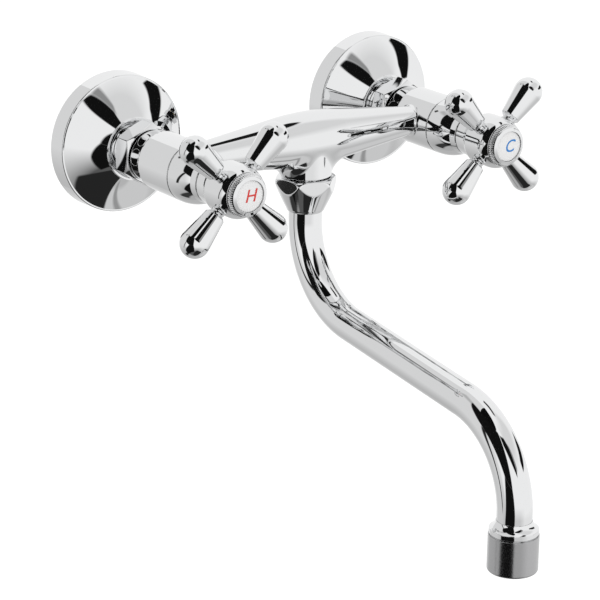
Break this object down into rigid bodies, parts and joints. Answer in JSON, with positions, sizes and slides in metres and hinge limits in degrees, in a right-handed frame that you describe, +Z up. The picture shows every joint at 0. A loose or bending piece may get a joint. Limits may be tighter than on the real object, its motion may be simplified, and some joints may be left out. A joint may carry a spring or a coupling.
{
  "type": "two handle kitchen faucet",
  "caption": "Wall-mounted two handle kitchen faucet with cross handles, bell escutcheons, a one-piece body and a bent tubular swivel spout with an aerator.",
  "frame": {"origin": "on the wall plane, midway between the centres of the two wall stubs", "axes": "+X from the hot side to the cold side, +Y into the wall, +Z up"},
  "size_m": [0.217, 0.2423, 0.1954],
  "materials": {
    "chrome": "polished chrome plating",
    "satin_chrome": "satin chrome plating, a little darker",
    "brass": "machined",
    "steel": "stainless, bright",
    "rubber": "moulded black nitrile",
    "fibre": "red vulcanised fibre",
    "ceramic": "lapped alumina",
    "nylon": "natural white",
    "hot_index": "white, with a red sign",
    "cold_index": "white, with a blue sign"
  },
  "bodies": {
    "mixer": {"body": "chrome", "hot_escutcheon": "chrome", "hot_wall_union": "chrome", "hot_union_nut": "chrome", "hot_union_washer": "fibre", "hot_inlet_nipple": "brass", "hot_headwork": "brass", "hot_seat_seal": "rubber", "hot_fixed_disc": "ceramic", "hot_thrust_washer": "nylon", "hot_bonnet": "chrome", "cold_escutcheon": "chrome", "cold_wall_union": "chrome", "cold_union_nut": "chrome", "cold_union_washer": "fibre", "cold_inlet_nipple": "brass", "cold_headwork": "brass", "cold_seat_seal": "rubber", "cold_fixed_disc": "ceramic", "cold_thrust_washer": "nylon", "cold_bonnet": "chrome", "spout_nut": "chrome", "slip_ring": "nylon"},
    "hot_handle": {"hot_turning_disc": "ceramic", "hot_spindle": "brass", "hot_spindle_o_rings": "rubber", "hot_circlip": "steel", "hot_handle_hub": "chrome", "hot_handle_arm_1": "chrome", "hot_handle_arm_2": "chrome", "hot_handle_arm_3": "chrome", "hot_handle_arm_4": "chrome", "hot_handle_screw": "steel", "hot_index_ring": "chrome", "hot_index_disc": "hot_index"},
    "cold_handle": {"cold_turning_disc": "ceramic", "cold_spindle": "brass", "cold_spindle_o_rings": "rubber", "cold_circlip": "steel", "cold_handle_hub": "chrome", "cold_handle_arm_1": "chrome", "cold_handle_arm_2": "chrome", "cold_handle_arm_3": "chrome", "cold_handle_arm_4": "chrome", "cold_handle_screw": "steel", "cold_index_ring": "chrome", "cold_index_disc": "cold_index"},
    "spout": {"spout_top_fitting": "brass", "spout_o_rings": "rubber", "spout_tube": "chrome", "spout_end": "chrome", "aerator_housing": "satin_chrome", "aerator_gasket": "rubber", "aerator_insert": "nylon", "aerator_screen": "steel"}
  },
  "joints": [
    {"name": "hot_handle_turn", "type": "hinge", "parent": "mixer", "child": "hot_handle", "pos_m": [-0.075, -0.1023, 0.0075], "axis": [0, -1, 0], "range_deg": [0, 90]},
    {"name": "cold_handle_turn", "type": "hinge", "parent": "mixer", "child": "cold_handle", "pos_m": [0.075, -0.1023, 0.0075], "axis": [0, -1, 0], "range_deg": [0, 90]},
    {"name": "spout_swivel", "type": "hinge", "parent": "mixer", "child": "spout", "pos_m": [0, -0.0544, -0.02], "axis": [0, 0, 1], "range_deg": [-100, 100]}
  ]
}
